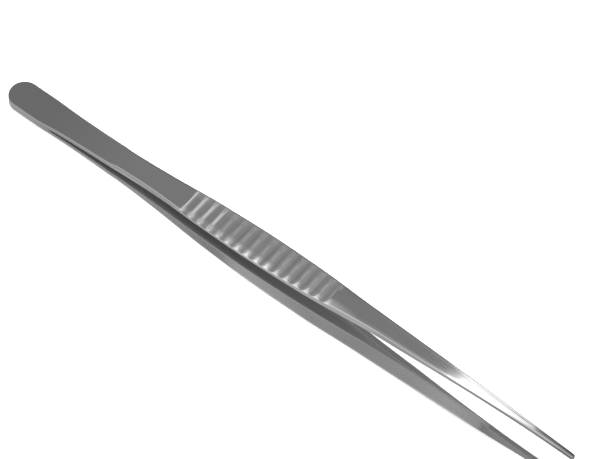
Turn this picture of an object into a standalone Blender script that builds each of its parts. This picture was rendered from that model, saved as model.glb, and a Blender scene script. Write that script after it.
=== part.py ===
"""Thumb forceps, lying on the fluted grip of the lower blade.

Two long steel blades are joined flat to flat at a rounded heel and bow apart towards the tips.
Each blade is one loft: a thin flat spring, a wide grip with hollow flutes across its outer face,
a shank bevelled on its inner side down to a ridge, and a fine jaw with serrations across it.
The blade is drawn with X from heel to tip, Y across and Z away from the middle plane between
the blades. The lower blade is the upper one turned half a turn about X.
"""

import math

import bmesh
import bpy
import numpy as np
from mathutils import Matrix

# Overall sizes, in metres
LENGTH = 0.200
BOW_RISE = 0.0087
SHANK_THICKNESS = 0.0034
GRIP_WIDTH = 0.0107
HEEL_RADIUS = 0.0047
TIP_RADIUS = 0.0009
TIP_ROUNDING = 0.0005
FACE_CROWN = 0.00036
CROWN_FLAT_SHARE = 0.2
CROWN_POWER = 1.4
EDGE_BEVEL = 0.00085
WELD_LENGTH = 0.017
SLIT_HALF = 0.0002
SLIT_RAMP = 0.002

# Flutes across the grip, centred on a share of LENGTH
FLUTE_COUNT = 15
FLUTE_PITCH = 0.00346
FLUTE_RADIUS = 0.0036
FLUTE_DEPTH = 0.00045
FLUTE_FACETS = 12
FLUTE_MIDDLE_SHARE = 0.4628

# Serrations across the jaw, with the flat left between two grooves as a share of their pitch
SERRATION_PITCH = 0.0008
SERRATION_DEPTH = 0.0002
SERRATION_RELIEF = 0.00005
SERRATION_LAND_SHARE = 0.1

# Spacing of the loft's sections and how far a cutter stands out past the steel
SECTION_STEP = 0.003
HEEL_STEPS = 12
TIP_STEPS = 5
CROWN_STEPS = 3
CUTTER_MARGIN = 0.0004
MERGE_DISTANCE = 0.00001
SHARP_ANGLE = math.radians(20)

# Look of the steel
STEEL_COLOR = (0.55, 0.55, 0.56, 1.0)
STEEL_METALLIC = 1.0
STEEL_ROUGHNESS = 0.3

# The blade's stations from heel to tip. Each row holds the place as a share of LENGTH, the outer
# face as a share of BOW_RISE, the steel as a share of SHANK_THICKNESS, the width as a share of
# GRIP_WIDTH, the inner flat as a share of the width there, the outer edges' bevel as a share of
# EDGE_BEVEL and the crown as a share of FACE_CROWN. The outer values from the first grip row to
# the shank row lie on one straight line, the plane that the flutes are cut into.
STATION_SHARES = (
    (0.060, 0.165, 0.36, 0.883, 1.00, 0.15, 0.00),
    (0.110, 0.230, 0.41, 0.781, 1.00, 0.15, 0.00),
    (0.160, 0.290, 0.43, 0.727, 1.00, 0.15, 0.00),
    (0.200, 0.350, 0.48, 0.708, 0.99, 0.18, 0.00),
    (0.213, 0.382, 0.53, 0.705, 0.97, 0.62, 0.00),
    (0.240, 0.430, 0.58, 0.712, 0.93, 0.70, 0.00),
    (0.290, 0.5165, 0.705, 0.765, 0.87, 0.78, 0.00),
    (0.310, 0.540, 0.735, 0.802, 0.85, 0.75, 0.00),
    (0.370, 0.6105, 0.81, 0.925, 0.79, 0.62, 0.30),
    (0.460, 0.71625, 0.89, 1.000, 0.695, 0.52, 1.00),
    (0.550, 0.822, 0.91, 0.935, 0.55, 0.72, 1.00),
    (0.630, 0.916, 0.965, 0.745, 0.36, 0.98, 0.45),
    (0.650, 0.9395, 1.00, 0.695, 0.29, 1.00, 0.25),
    (0.725, 0.9655, 1.015, 0.570, 0.10, 0.87, 0.15),
    (0.790, 0.9885, 1.06, 0.458, 0.04, 0.65, 0.15),
    (0.852, 1.000, 0.99, 0.354, 0.07, 0.58, 0.20),
    (0.862, 0.9995, 0.85, 0.340, 0.30, 0.58, 0.20),
    (0.930, 0.971, 0.60, 0.233, 0.50, 0.58, 0.30),
    (1.000, 0.902, 0.36, 0.170, 0.80, 0.50, 0.40),
)
STATIONS = np.array(STATION_SHARES)
STATION_X = STATIONS[:, 0] * LENGTH
OUTER, STEEL, WIDTH, FLAT, EDGE, CROWN = range(1, 7)
GRIP_ROW, SHANK_ROW, JAW_ROW = 6, 12, 16
GRIP_SLOPE = (STATIONS[SHANK_ROW, OUTER] - STATIONS[GRIP_ROW, OUTER]) * BOW_RISE / (
    STATION_X[SHANK_ROW] - STATION_X[GRIP_ROW]
)
FLUTE_START = FLUTE_MIDDLE_SHARE * LENGTH - FLUTE_COUNT * FLUTE_PITCH / 2
SERRATION_START = STATION_X[JAW_ROW] + SERRATION_PITCH
SERRATION_COUNT = int((LENGTH - TIP_RADIUS - SERRATION_START) / SERRATION_PITCH)


def station_value(x, column):
    """Smooth value of one column at x: a cubic between stations, with no overshoot. The outer
    face keeps the grip's own slope at both ends of the grip, so the grip stays flat."""
    values = STATIONS[:, column]
    spans = np.diff(STATION_X)
    rises = np.diff(values) / spans
    slopes = np.zeros(len(values))
    for i in range(1, len(rises)):
        if rises[i - 1] * rises[i] > 0:
            before = spans[i] * 2 + spans[i - 1]
            after = spans[i] + spans[i - 1] * 2
            slopes[i] = (before + after) / (before / rises[i - 1] + after / rises[i])
    slopes[-1] = rises[-1]
    if column == OUTER:
        slopes[GRIP_ROW] = slopes[SHANK_ROW] = rises[GRIP_ROW]
    x = min(max(x, STATION_X[0]), STATION_X[-1])
    i = min(int(np.searchsorted(STATION_X, x, side="right")) - 1, len(rises) - 1)
    t = (x - STATION_X[i]) / spans[i]
    near = (1 + 2 * t) * (1 - t) ** 2 * values[i] + t * t * (3 - 2 * t) * values[i + 1]
    lean = t * (1 - t) ** 2 * slopes[i] - t * t * (1 - t) * slopes[i + 1]
    return float(near + lean * spans[i])


def outer_height(x):
    """Height of the outer face above the middle plane."""
    return station_value(x, OUTER) * BOW_RISE


def inner_height(x):
    """Height of the inner face: zero over the joined heel, then open past a short ramp."""
    if x <= WELD_LENGTH:
        return 0.0
    ramp = min((x - WELD_LENGTH) / SLIT_RAMP, 1.0)
    steel_thickness = station_value(x, STEEL) * SHANK_THICKNESS
    return max(outer_height(x) - steel_thickness, SLIT_HALF) * ramp


def end_roundness(x):
    """Share of the full width that the half circles of the heel and the tip leave at x."""
    heel = 1 - min(x / HEEL_RADIUS, 1.0)
    tip = 1 - min((LENGTH - x) / TIP_RADIUS, 1.0)
    return math.sqrt(1 - heel * heel) * math.sqrt(1 - tip * tip)


def half_section(x):
    """Half of the blade's section at x, from the middle of the outer face to the inner one. The
    outer face is flat in its middle and falls away in a crown towards its edges, so the lands
    between two flutes widen there."""
    round_share = end_roundness(x)
    tip_share = round_share if x > LENGTH / 2 else 1.0
    half = station_value(x, WIDTH) * GRIP_WIDTH / 2 * round_share
    edge = station_value(x, EDGE) * EDGE_BEVEL * round_share
    outer = outer_height(x) - TIP_ROUNDING * (1 - tip_share)
    crown = station_value(x, CROWN) * FACE_CROWN
    points = [(x, 0.0, outer)]
    for step in range(CROWN_STEPS + 1):
        rise = step / CROWN_STEPS
        share = CROWN_FLAT_SHARE + (1 - CROWN_FLAT_SHARE) * rise
        points.append((x, share * (half - edge), outer - crown * rise**CROWN_POWER))
    points.append((x, half, outer - crown - edge))
    points.append((x, half * station_value(x, FLAT), inner_height(x)))
    points.append((x, 0.0, inner_height(x)))
    return points


def section_places():
    """Places of the loft's sections: close at both rounded ends, at every station between."""
    places = []
    for step in range(1, HEEL_STEPS + 1):
        turn = math.pi / 2 * step / HEEL_STEPS
        places.append(HEEL_RADIUS * (1 - math.cos(turn)))
    places += [WELD_LENGTH, WELD_LENGTH + SLIT_RAMP]
    stops = [WELD_LENGTH + SLIT_RAMP] + list(STATION_X[1:-1]) + [LENGTH - TIP_RADIUS]
    for start, stop in zip(stops, stops[1:]):
        steps = math.ceil((stop - start) / SECTION_STEP)
        places += [start + (stop - start) * (i + 1) / steps for i in range(steps)]
    for step in range(TIP_STEPS - 1, 0, -1):
        turn = math.pi / 2 * step / TIP_STEPS
        places.append(LENGTH - TIP_RADIUS * (1 - math.cos(turn)))
    return places


def blade_mesh():
    """Half blade lofted through its sections, open on the plane that mirrors it."""
    bm = bmesh.new()
    rows = []
    for x in section_places():
        rows.append([bm.verts.new(point) for point in half_section(x)])
    for row, following in zip(rows, rows[1:]):
        for i in range(len(row) - 1):
            bm.faces.new((row[i], row[i + 1], following[i + 1], following[i]))
    bm.faces.new(rows[0])
    bm.faces.new(rows[-1][::-1])
    bmesh.ops.recalc_face_normals(bm, faces=bm.faces)
    return finished_mesh(bm, "blade")


def comb_mesh(name, profile, half_width):
    """Closed prism across the blade, with the profile drawn in the X and Z directions."""
    bm = bmesh.new()
    outline = [bm.verts.new((x, -half_width, z)) for x, z in profile]
    face = bm.faces.new(outline)
    grown = bmesh.ops.extrude_face_region(bm, geom=[face])
    moved = [v for v in grown["geom"] if isinstance(v, bmesh.types.BMVert)]
    bmesh.ops.translate(bm, vec=(0.0, 2 * half_width, 0.0), verts=moved)
    bmesh.ops.recalc_face_normals(bm, faces=bm.faces)
    return finished_mesh(bm, name)


def flute_comb():
    """Cutter for the flutes: a row of round hollows that meet in sharp crests."""
    axis_height = FLUTE_RADIUS - FLUTE_DEPTH
    side_turn = math.asin(FLUTE_PITCH / 2 / FLUTE_RADIUS)
    end_turn = math.acos((axis_height - CUTTER_MARGIN / 2) / FLUTE_RADIUS)
    profile = []
    for flute in range(FLUTE_COUNT):
        first = -end_turn if flute == 0 else -side_turn
        last = end_turn if flute == FLUTE_COUNT - 1 else side_turn
        for i in range(FLUTE_FACETS + 1):
            if i == 0 and flute > 0:
                continue
            turn = first + (last - first) * i / FLUTE_FACETS
            along = (flute + 0.5) * FLUTE_PITCH + FLUTE_RADIUS * math.sin(turn)
            profile.append((along, axis_height - FLUTE_RADIUS * math.cos(turn)))
    profile.append((profile[-1][0], FLUTE_RADIUS))
    profile.append((profile[0][0], FLUTE_RADIUS))
    mesh = comb_mesh("flute_comb", profile, GRIP_WIDTH / 2 + CUTTER_MARGIN)
    mesh.transform(Matrix.Rotation(-math.atan(GRIP_SLOPE), 4, "Y"))
    mesh.transform(Matrix.Translation((FLUTE_START, 0.0, outer_height(FLUTE_START))))
    return mesh


def serration_comb():
    """Cutter for the serrations: small sharp grooves that follow the jaw's inner face."""
    profile = []
    side = SERRATION_PITCH * (1 - SERRATION_LAND_SHARE) / 2
    for groove in range(SERRATION_COUNT):
        middle = SERRATION_START + (groove + 0.5) * SERRATION_PITCH
        low = inner_height(middle) - SERRATION_RELIEF
        profile.append((middle - side, low))
        profile.append((middle, inner_height(middle) + SERRATION_DEPTH))
        profile.append((middle + side, low))
    base = inner_height(WELD_LENGTH)
    profile.append((profile[-1][0], base))
    profile.append((profile[0][0], base))
    half_width = station_value(SERRATION_START, WIDTH) * GRIP_WIDTH / 2 + CUTTER_MARGIN
    return comb_mesh("serration_comb", profile, half_width)


def finished_mesh(bm, name):
    """Mesh made from the edited geometry, shaded smooth with its sharp edges kept."""
    mesh = bpy.data.meshes.new(name)
    bm.to_mesh(mesh)
    bm.free()
    mesh.shade_smooth()
    mesh.set_sharp_from_angle(angle=SHARP_ANGLE)
    return mesh


def steel(name):
    """Satin stainless steel."""
    material = bpy.data.materials.new(name)
    material.use_nodes = True
    shader = material.node_tree.nodes["Principled BSDF"]
    shader.inputs["Base Color"].default_value = STEEL_COLOR
    shader.inputs["Metallic"].default_value = STEEL_METALLIC
    shader.inputs["Roughness"].default_value = STEEL_ROUGHNESS
    material.diffuse_color = STEEL_COLOR
    return material


def add_cutter(name, mesh, frame, group):
    """Cutter object that rides on the blade's frame and stays out of the renders."""
    cutter = bpy.data.objects.new(name, mesh)
    cutter.parent = frame
    cutter.hide_render = True
    cutter.display_type = "WIRE"
    group.objects.link(cutter)
    return cutter


def add_blade(name, half_turns, meshes, groups):
    """One blade on its own frame, turned about X by half turns and laid in its rest pose."""
    parts, cutters = groups
    frame = bpy.data.objects.new(name + "_frame", None)
    frame.matrix_world = rest_pose() @ Matrix.Rotation(math.pi * half_turns, 4, "X")
    parts.objects.link(frame)
    blade_data = meshes["blade"].copy()
    blade_data.materials.append(steel(name + "_steel"))
    blade = bpy.data.objects.new(name, blade_data)
    blade.parent = frame
    parts.objects.link(blade)
    mirror = blade.modifiers.new("both_sides", "MIRROR")
    mirror.use_axis = (False, True, False)
    mirror.use_clip = True
    mirror.merge_threshold = MERGE_DISTANCE
    for cut in ("flutes", "serrations"):
        cutter = add_cutter(name + "_" + cut, meshes[cut], frame, cutters)
        boolean = blade.modifiers.new(cut, "BOOLEAN")
        boolean.operation = "DIFFERENCE"
        boolean.solver = "EXACT"
        boolean.object = cutter
    return blade


def rest_pose():
    """Tilt that lays the lower grip level on the ground, with the origin under the middle."""
    tilt = math.atan(GRIP_SLOPE)
    heel_edge = -outer_height(0.0) * math.sin(tilt)
    tip_edge = LENGTH * math.cos(tilt) + inner_height(LENGTH) * math.sin(tilt)
    ground = outer_height(FLUTE_START) * math.cos(tilt) - FLUTE_START * math.sin(tilt)
    lift = Matrix.Translation((-(heel_edge + tip_edge) / 2, 0.0, ground))
    return lift @ Matrix.Rotation(-tilt, 4, "Y")


def new_group(name):
    """Collection linked to the scene."""
    group = bpy.data.collections.new(name)
    bpy.context.scene.collection.children.link(group)
    return group


def build():
    """Both blades of the forceps."""
    for thing in list(bpy.data.objects):
        bpy.data.objects.remove(thing, do_unlink=True)
    groups = (new_group("thumb_forceps"), new_group("forceps_cutters"))
    meshes = {"blade": blade_mesh(), "flutes": flute_comb(), "serrations": serration_comb()}
    add_blade("upper_blade", 0, meshes, groups)
    add_blade("lower_blade", 1, meshes, groups)


build()
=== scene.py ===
"""Thumb forceps: the finished blades, their satin steel and the white studio they lie in.

Both blades are worked out as surfaces on a grid of stations along the blade and points around
each section, with soft edges, hollow flutes and fine serrations, and stand in for the plain solids.
"""

import math

import bmesh
import bpy
import numpy as np
from mathutils import Matrix, Vector


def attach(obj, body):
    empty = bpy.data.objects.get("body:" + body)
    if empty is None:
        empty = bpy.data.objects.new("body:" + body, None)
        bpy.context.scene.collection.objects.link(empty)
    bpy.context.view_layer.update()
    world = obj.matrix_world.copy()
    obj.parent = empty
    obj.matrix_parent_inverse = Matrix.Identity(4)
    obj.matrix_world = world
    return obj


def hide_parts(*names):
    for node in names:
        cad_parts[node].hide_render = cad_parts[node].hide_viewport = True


bl_info = {
    "name": "Thumb Forceps",
    "version": (1, 0, 0),
    "blender": (4, 5, 0),
    "location": "3D View > Sidebar > Forceps",
    "description": "Builds a pair of fluted thumb forceps and the studio around it",
    "category": "Add Mesh",
}

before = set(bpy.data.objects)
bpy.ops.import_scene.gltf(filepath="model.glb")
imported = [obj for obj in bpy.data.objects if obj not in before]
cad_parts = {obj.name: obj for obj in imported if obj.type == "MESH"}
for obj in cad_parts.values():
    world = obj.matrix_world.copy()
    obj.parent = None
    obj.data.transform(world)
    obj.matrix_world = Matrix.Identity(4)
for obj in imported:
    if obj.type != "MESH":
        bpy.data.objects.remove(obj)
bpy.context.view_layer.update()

# The blade's stations from heel to tip: the place as a share of the length, the outer face as a
# share of the bow, the steel as a share of its thickness at the shank, the width as a share of
# the grip's, the inner flat as a share of the width there, the bevel as a share of the widest and
# the crown as a share of the highest.
STATION_SHARES = np.array((
    (0.060, 0.165, 0.36, 0.883, 1.00, 0.15, 0.00),
    (0.110, 0.230, 0.41, 0.781, 1.00, 0.15, 0.00),
    (0.160, 0.290, 0.43, 0.727, 1.00, 0.15, 0.00),
    (0.200, 0.350, 0.48, 0.708, 0.99, 0.18, 0.00),
    (0.213, 0.382, 0.53, 0.705, 0.97, 0.62, 0.00),
    (0.240, 0.430, 0.58, 0.712, 0.93, 0.70, 0.00),
    (0.290, 0.5165, 0.705, 0.765, 0.87, 0.78, 0.00),
    (0.310, 0.540, 0.735, 0.802, 0.85, 0.75, 0.00),
    (0.370, 0.6105, 0.81, 0.925, 0.79, 0.62, 0.30),
    (0.460, 0.71625, 0.89, 1.000, 0.695, 0.52, 1.00),
    (0.550, 0.822, 0.91, 0.935, 0.55, 0.72, 1.00),
    (0.630, 0.916, 0.965, 0.745, 0.36, 0.98, 0.45),
    (0.650, 0.9395, 1.00, 0.695, 0.29, 1.00, 0.25),
    (0.725, 0.9655, 1.015, 0.570, 0.10, 0.87, 0.15),
    (0.790, 0.9885, 1.06, 0.458, 0.04, 0.65, 0.15),
    (0.852, 1.000, 0.99, 0.354, 0.07, 0.58, 0.20),
    (0.862, 0.9995, 0.85, 0.340, 0.30, 0.58, 0.20),
    (0.930, 0.971, 0.60, 0.233, 0.50, 0.58, 0.30),
    (1.000, 0.902, 0.36, 0.170, 0.80, 0.50, 0.40),
))
OUTER, STEEL, WIDTH, FLAT, EDGE, CROWN = range(1, 7)
GRIP_ROW, SHANK_ROW, JAW_ROW = 6, 12, 16

# How many sections each part of the blade gets from heel to tip, and each flute and each groove.
HEEL_SECTIONS, JOINED_SECTIONS, SLIT_SECTIONS, SPRING_SECTIONS = 19, 12, 4, 90
SHANK_SECTIONS, TIP_SECTIONS = 84, 11
FLUTE_SECTIONS, GROOVE_SECTIONS = 20, 8
# Places are rounded to so many digits, and a section that is nearer to the last one is left out.
PLACE_DIGITS, CLOSEST_SECTIONS = 9, 2e-6

# The stretches of half a section, from the middle of the outer face round to the middle of the
# inner one, with the points that each of them gets.
STRETCH_POINTS = {
    "face": 21, "face_edge": 6, "bevel": 7, "bevel_edge": 6,
    "wall": 6, "wall_edge": 5, "flat": 3, "middle": 1,
}
WHOLE = dict.fromkeys(STRETCH_POINTS, 1.0)
FACE = {"face": 1.0}
OUTSIDE = {"face": 1.0, "face_edge": 1.0}
BEVEL = {"face_edge": 1.0, "bevel": 1.0, "bevel_edge": 1.0}
WALL = {"wall": 1.0}
INNER = {"wall_edge": 1.0, "flat": 1.0, "middle": 1.0}

# What the rounding of an edge may reach: shares of the edge softness, of the stretches beside it
# and of the wall.
FACE_EDGE_SHARE, WALL_EDGE_SHARE, STRETCH_SHARE, WALL_SHARE = 1.6, 0.6, 0.45, 0.3
# How far a flute is followed from its middle, the fluted part past its first and last crest, and
# the polish before the first crest, as shares of the pitch.
FLUTE_REACH_SHARE, FLUTE_MARGIN_SHARE, POLISH_MARGIN_SHARE = 0.75, 0.125, 0.05
# How far round a crest its softness blends the hollow's look in, and bends the surface.
HOLLOW_BLEND, FLOOR_BLEND = 4, 12

# Points that are nearer than the first are merged, and edges shorter than the second are dropped.
# Edges that bend by more than the angle are drawn sharp.
MERGE_DISTANCE, SLIVER, SHARP_ANGLE = 4e-7, 1e-7, 42
# The smallest width and the shortest way that anything is divided by.
TINY_WIDTH, SHORTEST_WAY = 1e-9, 1e-12

# Two places as shares of the length, for what is there from the heel or goes on past the tip.
FROM_HEEL, TO_TIP = (-1.0, 0.0), (1.0, 2.0)

# Painted shade: how much the steel's colour is darkened, on which stretches, and between which places it
# comes and between which it goes, as shares of the length. It stands for the shade and dark reflections on
# the heel, the tip, the walls, the bevels and the inner faces. Under the grip the inner flat gets a painted
# shadow in its middle, which the other blade covers, and less of it along its rim.
PAINTED_GAP_SHADOW = {"wall_edge": -0.3, "flat": 0.3, "middle": 0.9}
PAINTED_SHADE_SHARES = (
    (1.0, WHOLE, FROM_HEEL, (0.08, 0.24)),
    (1.4, WHOLE, (0.93, 1.0), TO_TIP),
    (1.6, WHOLE, (0.975, 0.995), TO_TIP),
    (-0.3, WALL, FROM_HEEL, (0.08, 0.24)),
    (0.7, WALL, (0.05, 0.08), (0.21, 0.25)),
    (0.7, WALL, (0.77, 0.83), (0.86, 0.88)),
    (0.55, INNER, FROM_HEEL, TO_TIP),
    (0.65, INNER, (0.51, 0.60), TO_TIP),
    (1.0, INNER, (0.86, 0.87), TO_TIP),
    (1.0, PAINTED_GAP_SHADOW, (0.27, 0.31), (0.62, 0.66)),
    (1.6, {"wall_edge": 1.0}, (0.858, 0.862), TO_TIP),
    (0.6, BEVEL, FROM_HEEL, (0.315, 0.345)),
    (0.5, BEVEL, (0.14, 0.20), (0.315, 0.345)),
    (1.2, BEVEL, (0.965, 0.985), TO_TIP),
)
# Softer places of painted shade: how much, on which stretches, the middle and the reach.
SOFT_PAINTED_SHADE_SHARES = (
    (0.35, INNER, 0.68, 0.07),
    (0.35, WALL, 0.45, 0.05),
)

# How much wear each edge shows everywhere, brightened as real wear and as a painted highlight along the
# edge, and how far each stretch belongs to the inner faces.
EDGE_WEAR_AND_HIGHLIGHT_SHARES = {"face_edge": 0.15, "bevel_edge": 0.25, "wall_edge": 0.08}
INSIDE_SHARES = {"wall": 0.3, **INNER}
# Where painted highlight comes across the outer face, as shares of the half width: on the lands, on the ends
# of the crests, and beside the edge, there as shares of the half face.
LAND_SHARES, END_SHARES, BESIDE_SHARES = (0.3, 0.63333), (0.39394, 0.69697), (0.55, 0.80)
# The shank past the grip gets painted highlight too: where it comes and goes, as shares of the length, and
# how strong it is on its bevels and the rims of its face.
SHANK_HIGHLIGHT_COMES, SHANK_HIGHLIGHT_GOES = (0.62, 0.77), (0.82, 0.86)
SHANK_BEVEL_HIGHLIGHT, SHANK_RIM_HIGHLIGHT = 0.2, 0.5
# The crests that get the full painted highlight, and those whose ends do. The ends' painted highlights reach
# wider, given as a share of the crests' own.
FIRST_CRESTS, FIRST_ENDS = 4, 10
END_HIGHLIGHT, LATER_END_HIGHLIGHT, END_REACH_SHARE = 0.8, 0.35, 2.4
# What is left of the one-sided painted highlight on the bevel, and on the side that gets less of it.
BEVEL_HIGHLIGHT, FAR_SIDE_HIGHLIGHT = 0.8, 0.3

# The noises on the steel: waves a metre along, across and up the blade, and detail.
LINES = ((90.0, 5200.0, 5200.0), 3.0)
FINE_LINES = ((260.0, 17000.0, 17000.0), 2.0)
CLOUDS = ((70.0, 160.0, 160.0), 3.0)
SPECKS = ((2600.0, 2600.0, 2600.0), 2.0)
STREAKS = ((1300.0, 110.0, 110.0), 3.0)
MOTTLE = ((3.0, 3.0, 3.0), 2.0)
NOISE_ROUGHNESS, NOISE_MIDDLE = 0.55, 0.5
# How much of the tone comes from the lines and the clouds, and of the relief from the lines, the
# fine lines and the specks.
LINE_TONE, CLOUD_TONE = 0.9, 0.5
LINE_RELIEF, FINE_LINE_RELIEF, SPECK_RELIEF = 0.6, 0.4, 0.1
# A mix node's sockets for colours: its factor, first colour and second colour, and its result.
MIX_FACTOR, MIX_FIRST, MIX_SECOND, MIX_RESULT = 0, 6, 7, 2
WHITE = (1.0, 1.0, 1.0, 1.0)

# Where each part of the room comes, from none to all of it, by the direction seen from the
# forceps: along them toward the tips, across them toward the back, or up.
HORIZON_UP, TIPS_ALONG = (0.55455, 0.1), (-0.15, 0.35)
CEILING_ACROSS, CEILING_UP = (0.33, 0.16333), (0.55, 0.71667)
BACK_ACROSS, BACK_UP = (0.5, 0.75), (0.75, 0.5)
FLOOR_ACROSS, FLOOR_UP = (0.3125, -0.3125), (0.001, -0.049)
# The floor's glow is stronger straight below: its level sideways and its rise downwards.
GLOW_LEVEL, GLOW_RISE = 0.55, 0.6
FLOOR_REACH, FLOOR_GLOW, FLOOR_ROUGHNESS = 6.0, 0.3, 0.9
MOTTLE_SHARE, MOTTLE_TONE = 0.3, 0.97

# The lights: each one's place, what it faces, and its width and height.
FRONT_LIGHT = ((-0.54, -0.84, 0.42), (0.0, 0.0, 0.0), (0.62, 0.45))
FLOOR_LIGHT = ((0.0, 0.0, 2.5), (0.0, 0.0, 0.0), (3.0, 3.0))
# The two strip lights hang over the tips and turn a little past them.
STRIP_PLACE, STRIP_BEHIND_PLACE, STRIP_BEHIND_SHARE = (-0.0025, 0.10, 0.29), (-0.005, 0.30, 0.175), 1.4
STRIP_AIM, STRIP_EXTENT, STRIP_SPREAD = (0.073, 0.0, 0.018), (0.056, 0.22), 60.0
STRIP_TURN, STRIP_ACROSS = (0.3, 0.0, 0.0), (1.0, -0.03, 0.0)

# The camera: azimuth, height and roll in degrees, the place it turns about and its distance from
# it, the lens and sensor in millimetres, and the nearest and farthest that it sees.
CAMERA_ANGLES = (31.1, 59.2, 8.03)
CAMERA_AIM, CAMERA_DISTANCE = (-0.00553, 0.0142, 0.00618), 0.808
CAMERA_LENS, CAMERA_SENSOR, CAMERA_CLIP = 172.0, 36.0, (0.01, 50.0)


def size(name, default, words):
    """A length that the user can change, shown in the scene's own unit."""
    return bpy.props.FloatProperty(
        name=name, description=words, default=default,
        min=0.0, precision=5, subtype="DISTANCE", unit="LENGTH",
    )


def share(name, default, words):
    """A share from 0 to 1 that the user can change."""
    return bpy.props.FloatProperty(
        name=name, description=words, default=default, min=0.0, max=1.0, precision=3, subtype="FACTOR"
    )


def number(name, default, words):
    """A plain number that the user can change."""
    return bpy.props.FloatProperty(
        name=name, description=words, default=default, min=0.0, max=5.0, precision=3
    )


def watts(name, default, words):
    """The power of a light, which the user can change."""
    return bpy.props.FloatProperty(
        name=name, description=words, default=default, min=0.0, precision=3, subtype="POWER", unit="POWER"
    )


def tint(name, default, words):
    """A colour that the user can change."""
    return bpy.props.FloatVectorProperty(
        name=name, description=words, default=default, size=3, min=0.0, max=1.0, subtype="COLOR"
    )


class BladeSizes(bpy.types.PropertyGroup):
    """Sizes of one forged blade"""

    length: size("Length", 0.200, "From the heel to the tip")
    bow: size("Bow", 0.0087, "Height of the outer face over the middle plane at its highest")
    steel: size("Steel", 0.0034, "Thickness of the steel at the shank")
    width: size("Grip width", 0.0107, "Width across the middle of the grip")
    heel_radius: size("Heel radius", 0.0047, "Rounding of the heel seen from above")
    tip_radius: size("Tip radius", 0.0009, "Rounding of the tip seen from above")
    tip_rounding: size("Tip rounding", 0.0005, "Drop of the outer face at the very tip")
    crown: size("Crown", 0.00036, "Highest crown across the outer face")
    crown_flat: share("Crown flat", 0.2, "Flat middle of the crowned face as a share of its width")
    crown_power: number("Crown power", 1.4, "How late the crown falls away")
    bevel: size("Bevel", 0.00085, "Widest bevel along the outer edges")
    softness: size("Edge softness", 0.00010, "Reach of the rounding on each polished edge")
    weld: size("Joined heel", 0.017, "Length over which the two blades are joined")
    slit: size("Slit", 0.0002, "Half of the slit's width where it starts")
    slit_ramp: size("Slit end", 0.002, "Length over which the slit opens")
    inset: size("End inset", 0.00006, "How far both ends are drawn in by polishing")


class GripSizes(bpy.types.PropertyGroup):
    """Sizes of the flutes across the grip and the serrations across the jaw"""

    count: bpy.props.IntProperty(
        name="Flutes", description="Number of hollow flutes", default=15, min=1, max=60
    )
    pitch: size("Flute pitch", 0.00346, "From one crest to the next")
    radius: size("Flute radius", 0.0036, "Radius of each hollow")
    depth: size("Flute depth", 0.00045, "Depth of each hollow below the outer face")
    middle: share("Flute middle", 0.4628, "Middle of the fluted part as a share of the length")
    crest: size("Crest softness", 0.00002, "Rounding of the crests between two flutes")
    # Painted highlights on the crests and lands: the crests' reach, and the strength past the first few
    # crests and on the lands near the edges.
    highlight_reach: size("Polish reach", 0.00045, "Reach of the polish on each crest")
    later_highlight: share("Later polish", 0.25, "Polish of the crests past the first few")
    land_highlight: share("Land polish", 0.44, "Polish of the lands between the flutes near the edges")
    tooth_pitch: size("Serration pitch", 0.0008, "From one groove of the jaw to the next")
    tooth_depth: size("Serration depth", 0.0002, "Depth of each groove")
    tooth_land: share("Serration land", 0.1, "Flat left between two grooves as a share of the pitch")


class SteelFinish(bpy.types.PropertyGroup):
    """Look of the satin steel"""

    face: tint("Steel", (0.30, 0.30, 0.302), "Colour of the satin faces")
    # The inner faces' colour is their ground finish and partly painted shade, a little darker than the outer
    # faces.
    inside: tint("Inner steel", (0.25, 0.25, 0.252), "Colour of the inner faces, which are only ground")
    # The bright colour of edges that wear has polished, also painted on as highlights on the crests, lands
    # and rims.
    wear_and_highlight: tint("Polished edge", (0.74, 0.74, 0.74), "Colour of edges polished by handling")
    shade: tint("Shade", (0.55, 0.55, 0.56), "What the steel's colour is multiplied by where it is dark")
    tone: share("Tone", 0.16, "How much of the shade lies in the grinding lines and clouds")
    # Painted shade in the flutes' hollows: on average they are darkened, varying from streak to streak.
    streaks: number("Streaks", 1.2, "How much the shade varies in the flutes from streak to streak")
    streak_level: share("Streak level", 0.36, "How much of the streaks' shade is taken off again")
    # How strongly the painted shade darkens the steel's colour.
    painted_shade_strength: share("Painted shade", 0.45, "How much of the shade lies in the shade-painted places")
    least_polish: share("Least polish", 0.7, "Polish between the specks of a worn place")
    specks: share("Specks", 0.4, "Polish that the specks add")
    rough: share("Roughness", 0.09, "Roughness of the polished faces")
    rough_hollow: share("Flute roughness", 0.33, "Roughness inside the flutes")
    rough_inside: share("Inner roughness", 0.40, "Roughness of the ground inner faces")
    rough_lines: share("Line roughness", 0.08, "How much the roughness varies from line to line")
    rough_clouds: share("Cloud roughness", 0.05, "How much the roughness varies from cloud to cloud")
    oxide: share("Inner oxide", 0.35, "How much less metallic the inner faces are")
    grain: share("Grain", 0.12, "Strength of the grinding lines' relief")
    grain_depth: size("Grain depth", 0.000004, "Depth of the grinding lines")


class StudioLook(bpy.types.PropertyGroup):
    """Look of the floor and the light"""

    floor: tint("Floor", (0.92, 0.92, 0.92), "Colour of the floor")
    sky: number("Room", 0.62, "Brightness of the room overhead")
    rim: number("Horizon", 1.25, "Brightness of the room near the floor")
    above: number("Ceiling light", 1.6, "Brightness of the room overhead and in front")
    side: number("Window side", 0.92, "Brightness of the room on the side of the tips")
    back: number("Back wall", 0.35, "Brightness of the wall behind the forceps")
    below: number("Floor glow", 1.0, "Brightness that the steel mirrors from the floor in front")
    front: watts("Front light", 0.40, "Power of the broad light in front")
    strip: watts("Strip light", 0.024, "Power of the narrow light over the tips")
    fill: watts("Floor light", 40.0, "Power of the light that only brightens the floor")


def blade_sizes():
    """The user's sizes of the blade."""
    return bpy.context.scene.forceps_blade


def grip_sizes():
    """The user's sizes of the flutes and serrations."""
    return bpy.context.scene.forceps_grip


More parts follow.
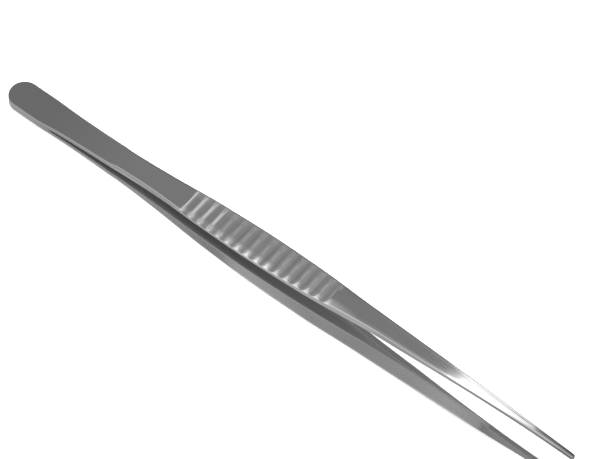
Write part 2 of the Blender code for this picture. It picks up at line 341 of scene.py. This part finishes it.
def ramp(values, start, end):
    """Runs straight from 0 at the start to 1 at the end, and stays there."""
    return np.clip((values - start) / (end - start), 0.0, 1.0)


def window(values, comes, goes):
    """Rises straight from 0 to 1 between the two places of comes, and falls between those of goes."""
    return ramp(values, *comes) * (1 - ramp(values, *goes))


def along_section(shares):
    """One value for each point of half a section, from the value of each stretch that is named."""
    values = [shares.get(stretch, 0.0) for stretch in STRETCH_POINTS]
    return np.repeat(values, list(STRETCH_POINTS.values()))


def station_value(x, column):
    """Cubic through one column of the table at every x at once. Inside a span of width w, with t
    from 0 to 1, it is (1+2t)(1-t)^2 a + t^2(3-2t) b + w(t(1-t)^2 m - t^2(1-t) n). The slopes m
    and n are the weighted harmonic means of the neighbouring rises, so nothing overshoots, and the
    outer face keeps the grip's own slope at both ends of the grip."""
    places = STATION_SHARES[:, 0] * blade_sizes().length
    values = STATION_SHARES[:, column]
    spans = np.diff(places)
    rises = np.diff(values) / spans
    before = spans[1:] * 2 + spans[:-1]
    after = spans[1:] + spans[:-1] * 2
    same_way = rises[:-1] * rises[1:] > 0
    low, high = np.where(same_way, rises[:-1], 1.0), np.where(same_way, rises[1:], 1.0)
    slopes = np.zeros(len(values))
    slopes[1:-1] = np.where(same_way, (before + after) / (before / low + after / high), 0.0)
    slopes[-1] = rises[-1]
    if column == OUTER:
        slopes[GRIP_ROW] = slopes[SHANK_ROW] = rises[GRIP_ROW]
    x = np.clip(x, places[0], places[-1])
    i = np.clip(np.searchsorted(places, x, side="right") - 1, 0, len(rises) - 1)
    t = (x - places[i]) / spans[i]
    near = (1 + 2 * t) * (1 - t) ** 2 * values[i] + t * t * (3 - 2 * t) * values[i + 1]
    lean = t * (1 - t) ** 2 * slopes[i] - t * t * (1 - t) * slopes[i + 1]
    return near + lean * spans[i]


def outer_height(x):
    """Height of the outer face over the middle plane."""
    return station_value(x, OUTER) * blade_sizes().bow


def open_slit(x):
    """How far the slit between the two blades has opened: 0 over the joined heel, then up to 1."""
    sizes = blade_sizes()
    return ramp(x, sizes.weld, sizes.weld + sizes.slit_ramp)


def inner_height(x):
    """Height of the inner face: zero over the joined heel, then the outer face less the steel."""
    sizes = blade_sizes()
    return np.maximum(outer_height(x) - station_value(x, STEEL) * sizes.steel, sizes.slit) * open_slit(x)


def grip_slope():
    """Slope of the grip's outer face, which is a plane."""
    sizes = blade_sizes()
    first, last = STATION_SHARES[GRIP_ROW], STATION_SHARES[SHANK_ROW]
    return (last[OUTER] - first[OUTER]) * sizes.bow / ((last[0] - first[0]) * sizes.length)


def flute_start():
    """Place of the first flute's edge on the heel's side."""
    grip = grip_sizes()
    return grip.middle * blade_sizes().length - grip.count * grip.pitch / 2


def fluted(x):
    """Whether there is a flute at every x, or one close by."""
    grip = grip_sizes()
    past = (x - flute_start()) / grip.pitch
    return (past > -FLUTE_MARGIN_SHARE) & (past < grip.count + FLUTE_MARGIN_SHARE)


def soft_lower(a, b, soft):
    """Smooth lower of two heights: (a + b - sqrt((a - b)^2 + 4 s^2)) / 2."""
    return 0.5 * (a + b - np.sqrt((a - b) ** 2 + 4 * soft * soft))


def flute_floor(x):
    """Height of the flutes' floor: below the grip's plane by sqrt(R^2 - u^2) - (R - depth), with u
    the way along the plane from the nearest flute's middle, and softly joined at each crest."""
    grip = grip_sizes()
    start, slope = flute_start(), grip_slope()
    lean = math.hypot(1.0, slope)
    along = (x - start) * lean
    middles = (np.arange(grip.count) + 0.5) * grip.pitch
    u = along[:, None] - middles
    reach = grip.pitch * FLUTE_REACH_SHARE
    near = np.abs(u) < reach
    sag = np.sqrt(grip.radius**2 - np.where(near, u, reach) ** 2) - (grip.radius - grip.depth)
    nearest = np.sort(-sag, axis=1)
    lowest, next_lowest = nearest[:, 0], nearest[:, min(1, grip.count - 1)]
    floor = soft_lower(lowest, next_lowest, grip.crest)
    plane = outer_height(np.array([start]))[0] + slope * (x - start)
    return plane + floor * lean


def crest_highlight(x, reach, count, later):
    """Painted highlight along the crests between the flutes: a bell exp(-(u / reach)^2) round each one, with
    u the way to it, full on the first few and weaker on the rest."""
    grip = grip_sizes()
    along = (x - flute_start()) * math.hypot(1.0, grip_slope()) / grip.pitch
    crest = np.round(along)
    bell = np.exp(-(((along - crest) * grip.pitch / reach) ** 2))
    on_grip = (along > -POLISH_MARGIN_SHARE) & (crest <= grip.count)
    return np.where(on_grip, bell * np.where(crest < count, 1.0, later), 0.0)


def groove_rows():
    """Where the first groove of the jaw starts, and how many there are up to the tip's rounding."""
    sizes, grip = blade_sizes(), grip_sizes()
    start = STATION_SHARES[JAW_ROW, 0] * sizes.length + grip.tooth_pitch
    return start, int((sizes.length - sizes.tip_radius - start) / grip.tooth_pitch)


def groove_rise(x):
    """Height that the jaw's grooves cut above the inner face: a row of sharp triangles, each 1
    less the way from its middle over half its width, and 0 on the lands between them."""
    grip = grip_sizes()
    start, count = groove_rows()
    along = (x - start) / grip.tooth_pitch
    half_groove = (1 - grip.tooth_land) / 2
    wave = 1 - np.abs(along - np.floor(along) - 0.5) / half_groove
    on_jaw = (along >= 0) & (along < count)
    return np.where(on_jaw, np.maximum(wave, 0.0), 0.0) * grip.tooth_depth


def stations():
    """Places of the sections: by equal turns round the heel and the tip, by equal steps along
    each part between them, and finer over the flutes and the grooves."""
    sizes, grip = blade_sizes(), grip_sizes()
    margin = grip.pitch * FLUTE_MARGIN_SHARE
    first = flute_start() - margin
    last = flute_start() + grip.count * grip.pitch / math.hypot(1.0, grip_slope()) + margin
    flute_sections = round((grip.count + 2 * FLUTE_MARGIN_SHARE) * FLUTE_SECTIONS) + 1
    jaw, teeth = groove_rows()
    heel_turns = np.linspace(0.0, math.pi / 2, HEEL_SECTIONS)
    tip_turns = np.linspace(math.pi / 2, 0.0, TIP_SECTIONS)
    opened = sizes.weld + sizes.slit_ramp
    grooves = jaw + np.arange(teeth * GROOVE_SECTIONS + 1) / GROOVE_SECTIONS * grip.tooth_pitch
    parts = [
        sizes.heel_radius * (1 - np.cos(heel_turns)),
        np.linspace(sizes.heel_radius, sizes.weld, JOINED_SECTIONS),
        np.linspace(sizes.weld, opened, SLIT_SECTIONS),
        np.linspace(opened, first, SPRING_SECTIONS),
        np.linspace(first, last, flute_sections),
        np.linspace(last, jaw, SHANK_SECTIONS),
        grooves[grooves < sizes.length - sizes.tip_radius],
        sizes.length - sizes.tip_radius * (1 - np.cos(tip_turns)),
    ]
    places = np.unique(np.round(np.concatenate(parts), PLACE_DIGITS))
    return places[np.concatenate(([True], np.diff(places) > CLOSEST_SECTIONS))]


def blade_outline(x):
    """Half width, bevel, outer face and place of every section. Both ends are rounded: the width
    and the bevel shrink by sqrt(1 - u^2), with u from 0 to 1 over the end's radius, the outer face
    drops alike at the tip, and both ends are drawn in by the inset times u."""
    sizes = blade_sizes()
    heel = 1 - np.minimum(x / sizes.heel_radius, 1.0)
    tip = 1 - np.minimum((sizes.length - x) / sizes.tip_radius, 1.0)
    tip_share = np.sqrt(np.maximum(1 - tip * tip, 0.0))
    round_share = np.sqrt(1 - heel * heel) * tip_share
    half = station_value(x, WIDTH) * sizes.width / 2 * round_share
    edge = station_value(x, EDGE) * sizes.bevel * round_share
    outer = outer_height(x) - sizes.tip_rounding * (1 - tip_share)
    return half, edge, outer, x + sizes.inset * (heel - tip)


def bend(corner, before, after, reach, steps):
    """Soft corner of a section: the curve (1-s)^2 p + 2s(1-s) c + s^2 q from a point p before the
    corner c to a point q after it, both at the given reach from c."""
    def toward(other):
        """Point at the reach from the corner."""
        way = other - corner
        return corner + way * (reach / np.maximum(np.linalg.norm(way, axis=-1), SHORTEST_WAY))[:, None]

    s = np.linspace(0.0, 1.0, steps)[None, :, None]
    p, q = toward(before)[:, None], toward(after)[:, None]
    return (1 - s) ** 2 * p + 2 * s * (1 - s) * corner[:, None] + s * s * q


def run(start, end, steps):
    """Straight run of points between two points p and q, without its ends: (1-s) p + s q."""
    s = (np.arange(1, steps + 1) / (steps + 1))[None, :, None]
    return start[:, None] * (1 - s) + end[:, None] * s


def half_sections(x):
    """Half of every section as widths and heights: straight runs with soft corners between them,
    from the middle of the outer face over the bevel and down the wall to the middle of the inner
    one. The crown lowers the outer face by crown times v^power, with v from 0 to 1 between the
    face's flat middle and its edge."""
    sizes = blade_sizes()
    half, edge, outer, _ = blade_outline(x)
    crown = sizes.crown * station_value(x, CROWN)
    inner, flat = inner_height(x), half * station_value(x, FLAT)
    zero = np.zeros_like(x)
    top, face_end = np.stack((zero, outer), axis=-1), np.stack((half - edge, outer - crown), axis=-1)
    bevel_end, wall_end = np.stack((half, outer - crown - edge), axis=-1), np.stack((flat, inner), axis=-1)
    middle = np.stack((zero, inner), axis=-1)

    bevel_reach = np.linalg.norm(bevel_end - face_end, axis=-1) * STRETCH_SHARE
    wall_reach = np.linalg.norm(wall_end - bevel_end, axis=-1) * WALL_SHARE
    soft_face = np.minimum(sizes.softness * FACE_EDGE_SHARE, bevel_reach)
    soft_bevel = np.minimum(sizes.softness, np.minimum(bevel_reach, wall_reach))
    soft_wall = np.minimum(sizes.softness * WALL_EDGE_SHARE, np.minimum(wall_reach, flat * STRETCH_SHARE))
    steps = STRETCH_POINTS
    face_edge = bend(face_end, top, bevel_end, soft_face, steps["face_edge"])
    bevel_edge = bend(bevel_end, face_end, wall_end, soft_bevel, steps["bevel_edge"])
    wall_edge = bend(wall_end, bevel_end, middle, soft_wall * open_slit(x), steps["wall_edge"])

    face = np.concatenate([top[:, None], run(top, face_edge[:, 0], steps["face"] - 1)], axis=1)
    face_share = face[..., 0] / np.maximum((half - edge)[:, None], TINY_WIDTH)
    fall = np.maximum((face_share - sizes.crown_flat) / (1 - sizes.crown_flat), 0.0)
    face[..., 1] = outer[:, None] - crown[:, None] * fall**sizes.crown_power
    bevel = run(face_edge[:, -1], bevel_edge[:, 0], steps["bevel"])
    wall = run(bevel_edge[:, -1], wall_edge[:, 0], steps["wall"])
    flat_run = run(wall_edge[:, -1], middle, steps["flat"])
    return np.concatenate(
        [face, face_edge, bevel, bevel_edge, wall, wall_edge, flat_run, middle[:, None]], axis=1
    )


def cut_sections(x):
    """Half sections as points in space, cut by the flutes from outside and by the jaw's grooves
    from inside, and for each point how far it belongs to a flute."""
    sizes, grip = blade_sizes(), grip_sizes()
    _, _, outer, place = blade_outline(x)
    sections = half_sections(x)
    y, z = sections[..., 0], sections[..., 1]
    floor = np.where(fluted(x), flute_floor(x), outer + sizes.steel)[:, None]
    hollow = np.clip((z - floor) / (grip.crest * HOLLOW_BLEND) + 0.5, 0.0, 1.0)
    z = np.where(z > floor - grip.crest * FLOOR_BLEND, soft_lower(z, floor, grip.crest), z)
    z = np.maximum(z, (inner_height(x) + groove_rise(x))[:, None])
    return np.stack([np.broadcast_to(place[:, None], y.shape), y, z], axis=-1), hollow


def wear_and_highlight_masks(x, y, hollow):
    """How much bright colour half of every section gets, from wear and painted highlights, on the side that
    gets the weaker painted highlights and on the one that gets the stronger. It is the largest of what each
    edge, land, crest and shank place brings, and each of those comes straight over its own shares of the
    half width."""
    grip = grip_sizes()
    half, edge, _, _ = blade_outline(x)
    out = y / np.maximum(half, TINY_WIDTH)[:, None]
    face_out = y / np.maximum(half - edge, TINY_WIDTH)[:, None]
    outside, bevel = along_section(OUTSIDE), along_section(BEVEL)
    shank_highlight = window(x / blade_sizes().length, SHANK_HIGHLIGHT_COMES, SHANK_HIGHLIGHT_GOES)[:, None]
    land = (1 - hollow) * ramp(out, *LAND_SHARES) * outside * fluted(x)[:, None] * grip.land_highlight
    crests = crest_highlight(x, grip.highlight_reach, FIRST_CRESTS, grip.later_highlight)[:, None] * hollow
    wear_and_highlight = np.maximum(along_section(EDGE_WEAR_AND_HIGHLIGHT_SHARES), SHANK_BEVEL_HIGHLIGHT * shank_highlight * bevel)
    wear_and_highlight = np.maximum(wear_and_highlight, np.maximum(land, crests))

    # Painted highlights that one side of the blade gets more strongly than the other.
    ends = crest_highlight(x, grip.highlight_reach * END_REACH_SHARE, FIRST_ENDS, LATER_END_HIGHLIGHT)[:, None]
    ends = END_HIGHLIGHT * ends * ramp(out, *END_SHARES) * outside
    rim = SHANK_RIM_HIGHLIGHT * shank_highlight * ramp(face_out, *BESIDE_SHARES) * along_section(FACE)
    side_highlight = np.maximum(ends, rim) * (1 - (1 - BEVEL_HIGHLIGHT) * bevel)
    return np.maximum(wear_and_highlight, FAR_SIDE_HIGHLIGHT * side_highlight), np.maximum(wear_and_highlight, side_highlight)


def painted_shade_mask(x):
    """How much painted shade half of every section gets: the sum of the windows of one table and the bells
    exp(-((p - middle) / reach)^2) of the other, with p the place as a share of the length."""
    place = x / blade_sizes().length
    painted_shade = np.zeros((len(x), sum(STRETCH_POINTS.values())))
    for strength, stretches, comes, goes in PAINTED_SHADE_SHARES:
        painted_shade += strength * window(place, comes, goes)[:, None] * along_section(stretches)
    for strength, stretches, middle, reach in SOFT_PAINTED_SHADE_SHARES:
        painted_shade += strength * np.exp(-(((place - middle) / reach) ** 2))[:, None] * along_section(stretches)
    return painted_shade


def closed_ring(far, near):
    """One half of every section, and the other one backwards without its two ends."""
    return np.concatenate([far, near[:, -2:0:-1]], axis=1)


def blade_grid(x):
    """The blade at every x as closed rings of points, the second half of each the mirror image of the first,
    and the masks for the steel, one value a point: how much it shows of wear and painted highlight, how far
    it belongs to the inner faces and to the flutes, and how much painted shade it gets."""
    points, hollow = cut_sections(x)
    inside = np.broadcast_to(along_section(INSIDE_SHARES), hollow.shape)
    painted_shade = painted_shade_mask(x)
    masks = {
        "wear_and_highlight": closed_ring(*wear_and_highlight_masks(x, points[..., 1], hollow)),
        "inside": closed_ring(inside, inside),
        "hollow": closed_ring(hollow, hollow),
        "painted_shade": closed_ring(painted_shade, painted_shade),
    }
    return closed_ring(points, points * (1.0, -1.0, 1.0)), masks


def rest_matrix(half_turns):
    """Place of a blade: turned about its length, tilted so that the lower grip lies level on the
    floor, and moved so that the origin is under the middle of the forceps."""
    sizes = blade_sizes()
    tilt = math.atan(grip_slope())
    ends = np.array([0.0, sizes.length])
    heel_edge = -outer_height(ends)[0] * math.sin(tilt)
    tip_edge = sizes.length * math.cos(tilt) + inner_height(ends)[1] * math.sin(tilt)
    start = np.array([flute_start()])
    ground = outer_height(start)[0] * math.cos(tilt) - start[0] * math.sin(tilt)
    lift = Matrix.Translation((-(heel_edge + tip_edge) / 2, 0.0, ground))
    return lift @ Matrix.Rotation(-tilt, 4, "Y") @ Matrix.Rotation(math.pi * half_turns, 4, "X")


def grid_mesh(name, points, masks):
    """Mesh over a grid of closed rings, with its ends closed by merging their meeting points."""
    rows, around = points.shape[:2]
    i, j = np.meshgrid(np.arange(rows - 1), np.arange(around), indexing="ij")
    following = (j + 1) % around
    quads = np.stack(
        [i * around + j, (i + 1) * around + j, (i + 1) * around + following, i * around + following], axis=-1
    ).reshape(-1, 4)
    mesh = bpy.data.meshes.new(name)
    mesh.vertices.add(rows * around)
    mesh.vertices.foreach_set("co", points.reshape(-1).astype(np.float32))
    mesh.loops.add(quads.size)
    mesh.loops.foreach_set("vertex_index", quads.reshape(-1).astype(np.int32))
    mesh.polygons.add(len(quads))
    mesh.polygons.foreach_set("loop_start", (np.arange(len(quads)) * 4).astype(np.int32))
    mesh.update(calc_edges=True)
    for mask_name, values in masks.items():
        layer = mesh.attributes.new(mask_name, "FLOAT", "POINT")
        layer.data.foreach_set("value", values.reshape(-1).astype(np.float32))
    close_seams(mesh)
    mesh.shade_smooth()
    mesh.set_sharp_from_angle(angle=math.radians(SHARP_ANGLE))
    return mesh


def close_seams(mesh):
    """Merges points that meet, drops faces without area and turns every face outwards."""
    bm = bmesh.new()
    bm.from_mesh(mesh)
    bmesh.ops.remove_doubles(bm, verts=bm.verts, dist=MERGE_DISTANCE)
    bmesh.ops.dissolve_degenerate(bm, edges=bm.edges, dist=SLIVER)
    bmesh.ops.recalc_face_normals(bm, faces=bm.faces)
    bm.to_mesh(mesh)
    bm.free()


def add_piece(name, mesh, material, slot, *nodes):
    """Object at the origin that rides on the body and stands for the named nodes."""
    mesh.materials.append(material)
    piece = bpy.data.objects.new(name, mesh)
    bpy.context.scene.collection.objects.link(piece)
    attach(piece, "root")
    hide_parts(*nodes)


class Wire:
    """A number on its way through a shader. Arithmetic on it adds Math nodes."""

    def __init__(self, shader, socket):
        self.shader, self.socket = shader, socket

    def calc(self, operation, *values, clamp=False):
        """Math node over the given values."""
        settings = {"operation": operation, "use_clamp": clamp}
        sockets = dict(enumerate(values))
        return Wire(self.shader, self.shader.node("ShaderNodeMath", settings, sockets).outputs[0])

    def __add__(self, other):
        return self.calc("ADD", self, other)

    __radd__ = __add__

    def __sub__(self, other):
        return self.calc("SUBTRACT", self, other)

    def __rsub__(self, other):
        return self.calc("SUBTRACT", other, self)

    def __mul__(self, other):
        return self.calc("MULTIPLY", self, other)

    __rmul__ = __mul__

    def clamped(self):
        """The same number kept between 0 and 1."""
        return self.calc("ADD", self, 0.0, clamp=True)

    def ramp(self, start, end):
        """Runs straight from 0 where the number is the start to 1 where it is the end."""
        return ((self - start) * (1 / (end - start))).clamped()


class Shader:
    """Node tree of a material or world, with one way to add any node."""

    def __init__(self, owner):
        owner.use_nodes = True
        self.tree = owner.node_tree
        self.tree.nodes.clear()

    def node(self, kind, settings=None, sockets=None):
        """Node of a kind, with its settings made first and then its sockets set or linked."""
        node = self.tree.nodes.new(kind)
        for key, value in (settings or {}).items():
            setattr(node, key, value)
        for key, value in (sockets or {}).items():
            source = value.socket if isinstance(value, Wire) else value
            if isinstance(source, bpy.types.NodeSocket):
                self.tree.links.new(source, node.inputs[key])
            else:
                node.inputs[key].default_value = source
        return node

    def mask(self, name):
        """Number that the mesh holds at each point under a name."""
        return Wire(self, self.node("ShaderNodeAttribute", {"attribute_name": name}).outputs["Fac"])

    def grain(self, waves, detail):
        """Noise on object coordinates, with its own waves a metre along each axis."""
        coordinates = self.node("ShaderNodeTexCoord").outputs["Object"]
        mapping = self.node("ShaderNodeMapping", {}, {"Vector": coordinates, "Scale": waves})
        sockets = {
            "Vector": mapping.outputs[0], "Scale": 1.0, "Detail": detail, "Roughness": NOISE_ROUGHNESS,
        }
        return Wire(self, self.node("ShaderNodeTexNoise", {}, sockets).outputs[0])

    def blend(self, amount, first, second, kind="MIX"):
        """Colour between two colours, or the first one multiplied by the second."""
        settings = {"data_type": "RGBA", "blend_type": kind}
        sockets = {MIX_FACTOR: amount, MIX_FIRST: first, MIX_SECOND: second}
        return self.node("ShaderNodeMix", settings, sockets).outputs[MIX_RESULT]

    def surface(self, sockets):
        """Principled surface with the given sockets, as the material's output."""
        principled = self.node("ShaderNodeBsdfPrincipled", {}, sockets)
        self.node("ShaderNodeOutputMaterial", {}, {"Surface": principled.outputs[0]})


def rgba(color):
    """Colour with full opacity."""
    return (*color, 1.0)


def satin_steel(name):
    """Satin steel: fine grinding lines along the blade, cloudy polishing, brighter edges from wear with
    painted highlights on crests, lands and rims, ground inner faces, and painted shade on the inner faces,
    in the flutes' hollows and in other shaded places."""
    finish = bpy.context.scene.forceps_finish
    material = bpy.data.materials.new(name)
    shader = Shader(material)
    wear_and_highlight, inside, hollow, painted_shade = (shader.mask(mask) for mask in ("wear_and_highlight", "inside", "hollow", "painted_shade"))
    lines, fine_lines, clouds, specks, streaks = (
        shader.grain(*noise) for noise in (LINES, FINE_LINES, CLOUDS, SPECKS, STREAKS)
    )
    # Bright colour of wear on the edges, and painted highlights on the crests, lands and rims.
    polish_and_highlight = (wear_and_highlight * (finish.least_polish + specks * finish.specks)).clamped()
    # The inner faces take the inner colour: ground finish and partly painted shade.
    base = shader.blend(inside.clamped(), rgba(finish.face), rgba(finish.inside))
    lined, clouded = lines - NOISE_MIDDLE, clouds - NOISE_MIDDLE
    tone = (lined * LINE_TONE + clouded * CLOUD_TONE + NOISE_MIDDLE).clamped()
    # Painted shade in the flutes' hollows, varying with the streaks' noise.
    hollow_shade = hollow * (streaks * finish.streaks - finish.streak_level)
    # The shade mixes the real darker grinding lines and clouds with painted shade in the flutes' hollows and
    # in the places of the painted shade table.
    shade = (1 - tone) * finish.tone + hollow_shade + painted_shade * finish.painted_shade_strength
    dark = shader.blend(shade, base, rgba(finish.shade), "MULTIPLY")
    color = shader.blend(polish_and_highlight, dark, rgba(finish.wear_and_highlight))
    satin = finish.rough + hollow * (finish.rough_hollow - finish.rough)
    satin = satin + inside * (finish.rough_inside - satin)
    roughness = satin + lined * finish.rough_lines + clouded * finish.rough_clouds
    height = lines * LINE_RELIEF + fine_lines * FINE_LINE_RELIEF + specks * SPECK_RELIEF
    bump = shader.node(
        "ShaderNodeBump", {}, {"Strength": finish.grain, "Distance": finish.grain_depth, "Height": height}
    )
    metallic = (1 - inside * finish.oxide).clamped()
    shader.surface({
        "Base Color": color, "Metallic": metallic,
        "Roughness": roughness.clamped(), "Normal": bump.outputs[0],
    })
    material.diffuse_color = rgba(finish.face)
    return material


class FORCEPS_OT_blades(bpy.types.Operator):
    """Build both finished blades with flutes, serrations and soft edges"""

    bl_idname = "forceps.blades"
    bl_label = "Blades"

    def execute(self, context):
        """Works out one blade's grid and lays it down twice."""
        points, masks = blade_grid(stations())
        material = satin_steel("satin_steel")
        for name, half_turns in (("upper_blade", 0), ("lower_blade", 1)):
            mesh = grid_mesh(name + "_finished", points, masks)
            mesh.transform(rest_matrix(half_turns))
            add_piece(name + "_finished", mesh, material, "blade_steel", name)
        return {"FINISHED"}


def add_light(name, place, aim, extent, power):
    """Broad rectangular light at a place, turned to face its aim."""
    data = bpy.data.lights.new(name, "AREA")
    data.shape = "RECTANGLE"
    data.size, data.size_y = extent
    data.energy = power
    light = bpy.data.objects.new(name, data)
    light.location = place
    way = Vector(aim) - Vector(place)
    light.rotation_euler = way.to_track_quat("-Z", "Y").to_euler()
    bpy.context.scene.collection.objects.link(light)
    return light


def add_grid_light(name, place, power):
    """Narrow light with a grid in front. It looks a little past the tips, so that the outer faces
    of the jaws mirror it and the grip hardly does."""
    light = add_light(name, place, STRIP_AIM, STRIP_EXTENT, power)
    light.data.spread = math.radians(STRIP_SPREAD)
    facing = ((Vector(place) - Vector(STRIP_AIM)).normalized() - Vector(STRIP_TURN)).normalized()
    across = Vector(STRIP_ACROSS)
    across = (across - facing * across.dot(facing)).normalized()
    light.rotation_euler = Matrix((across, facing.cross(across), facing)).transposed().to_euler()


def add_floor(color):
    """Pale floor under the forceps, far wider than the view."""
    mesh = bpy.data.meshes.new("floor")
    corners = [(x * FLOOR_REACH, y * FLOOR_REACH, 0.0) for x, y in ((-1, -1), (1, -1), (1, 1), (-1, 1))]
    mesh.from_pydata(corners, [], [(0, 1, 2, 3)])
    material = bpy.data.materials.new("floor_white")
    shader = Shader(material)
    mottle = (shader.grain(*MOTTLE) * MOTTLE_SHARE).clamped()
    tone = shader.blend(mottle, rgba(color), rgba([part * MOTTLE_TONE for part in color]))
    shader.surface({
        "Base Color": tone, "Roughness": FLOOR_ROUGHNESS,
        "Emission Color": WHITE, "Emission Strength": FLOOR_GLOW,
    })
    mesh.materials.append(material)
    floor = bpy.data.objects.new("floor", mesh)
    bpy.context.scene.collection.objects.link(floor)
    floor.visible_glossy = False


def add_room(look):
    """White room whose brightness follows the direction: bright at the horizon and calmer
    overhead, with a light ceiling in front, a bright side by the tips, a dark wall behind, and
    below it the floor as the steel mirrors it."""
    world = bpy.data.worlds.new("white_room")
    bpy.context.scene.world = world
    shader = Shader(world)
    direction = shader.node("ShaderNodeTexCoord").outputs["Generated"]
    axes = shader.node("ShaderNodeSeparateXYZ", {}, {0: direction})
    along, across, height = (Wire(shader, output) for output in axes.outputs)
    ceiling = look.sky + along.ramp(*TIPS_ALONG) * (look.side - look.sky)
    ceiling = ceiling + across.ramp(*CEILING_ACROSS) * height.ramp(*CEILING_UP) * (look.above - ceiling)
    walls = ceiling + height.ramp(*HORIZON_UP) * (look.rim - ceiling)
    upper = walls + across.ramp(*BACK_ACROSS) * height.ramp(*BACK_UP) * (look.back - walls)
    glow = look.below * (GLOW_LEVEL - height * GLOW_RISE)
    under = look.back + across.ramp(*FLOOR_ACROSS) * (glow - look.back)
    strength = upper + height.ramp(*FLOOR_UP) * (under - upper)
    background = shader.node("ShaderNodeBackground", {}, {"Color": WHITE, "Strength": strength})
    shader.node("ShaderNodeOutputWorld", {}, {"Surface": background.outputs[0]})


def add_camera():
    """Camera at the portrait's place: turned about the forceps by azimuth and height, and rolled."""
    azimuth, height, roll = (math.radians(angle) for angle in CAMERA_ANGLES)
    outward = math.cos(height)
    back = Vector((outward * math.sin(azimuth), -outward * math.cos(azimuth), math.sin(height)))
    level = Vector((math.cos(azimuth), math.sin(azimuth), 0.0))
    upright = back.cross(level)
    right = level * math.cos(roll) + upright * math.sin(roll)
    up = upright * math.cos(roll) - level * math.sin(roll)
    data = bpy.data.cameras.new("portrait_camera")
    data.sensor_fit, data.sensor_width, data.lens = "HORIZONTAL", CAMERA_SENSOR, CAMERA_LENS
    data.clip_start, data.clip_end = CAMERA_CLIP
    camera = bpy.data.objects.new("portrait_camera", data)
    place = Vector(CAMERA_AIM) + back * CAMERA_DISTANCE
    camera.matrix_world = Matrix.Translation(place) @ Matrix((right, up, back)).transposed().to_4x4()
    bpy.context.scene.collection.objects.link(camera)
    bpy.context.scene.camera = camera


class FORCEPS_OT_stage(bpy.types.Operator):
    """Build the pale floor, the soft light and the camera"""

    bl_idname = "forceps.stage"
    bl_label = "Studio"

    def execute(self, context):
        """Puts up the floor, the room, the lights and the camera."""
        look = context.scene.forceps_studio
        add_floor(look.floor)
        add_room(look)
        add_light("front_light", *FRONT_LIGHT, look.front)
        add_grid_light("strip_light", STRIP_PLACE, look.strip)
        add_grid_light("strip_light_behind", STRIP_BEHIND_PLACE, look.strip * STRIP_BEHIND_SHARE)
        fill = add_light("floor_light", *FLOOR_LIGHT, look.fill)
        fill.visible_glossy = False
        add_camera()
        settings = context.scene.view_settings
        settings.view_transform, settings.look = "Standard", "None"
        return {"FINISHED"}


class FORCEPS_PT_panel(bpy.types.Panel):
    """Sizes, looks and the steps that build the forceps"""

    bl_idname = "FORCEPS_PT_panel"
    bl_label = "Thumb Forceps"
    bl_space_type = "VIEW_3D"
    bl_region_type = "UI"
    bl_category = "Forceps"

    def draw(self, context):
        """Lists every size and colour, and one button for each step."""
        for title, group in (
            ("Blade", context.scene.forceps_blade),
            ("Grip and jaw", context.scene.forceps_grip),
            ("Steel", context.scene.forceps_finish),
            ("Studio", context.scene.forceps_studio),
        ):
            box = self.layout.box()
            box.label(text=title)
            for key in group.__annotations__:
                box.prop(group, key)
        for step in STEPS:
            self.layout.operator(step.bl_idname, text=step.bl_label)


GROUPS = {
    "forceps_blade": BladeSizes,
    "forceps_grip": GripSizes,
    "forceps_finish": SteelFinish,
    "forceps_studio": StudioLook,
}
STEPS = (FORCEPS_OT_blades, FORCEPS_OT_stage)


def register():
    """Adds the groups of sizes, the steps and the panel."""
    for key, group in GROUPS.items():
        bpy.utils.register_class(group)
        setattr(bpy.types.Scene, key, bpy.props.PointerProperty(type=group))
    for step in STEPS:
        bpy.utils.register_class(step)
    bpy.utils.register_class(FORCEPS_PT_panel)


def unregister():
    """Takes them all away again."""
    bpy.utils.unregister_class(FORCEPS_PT_panel)
    for step in reversed(STEPS):
        bpy.utils.unregister_class(step)
    for key, group in GROUPS.items():
        delattr(bpy.types.Scene, key)
        bpy.utils.unregister_class(group)


def main():
    register()
    bpy.ops.forceps.blades()
    bpy.ops.forceps.stage()


if __name__ == "__main__":
    main()
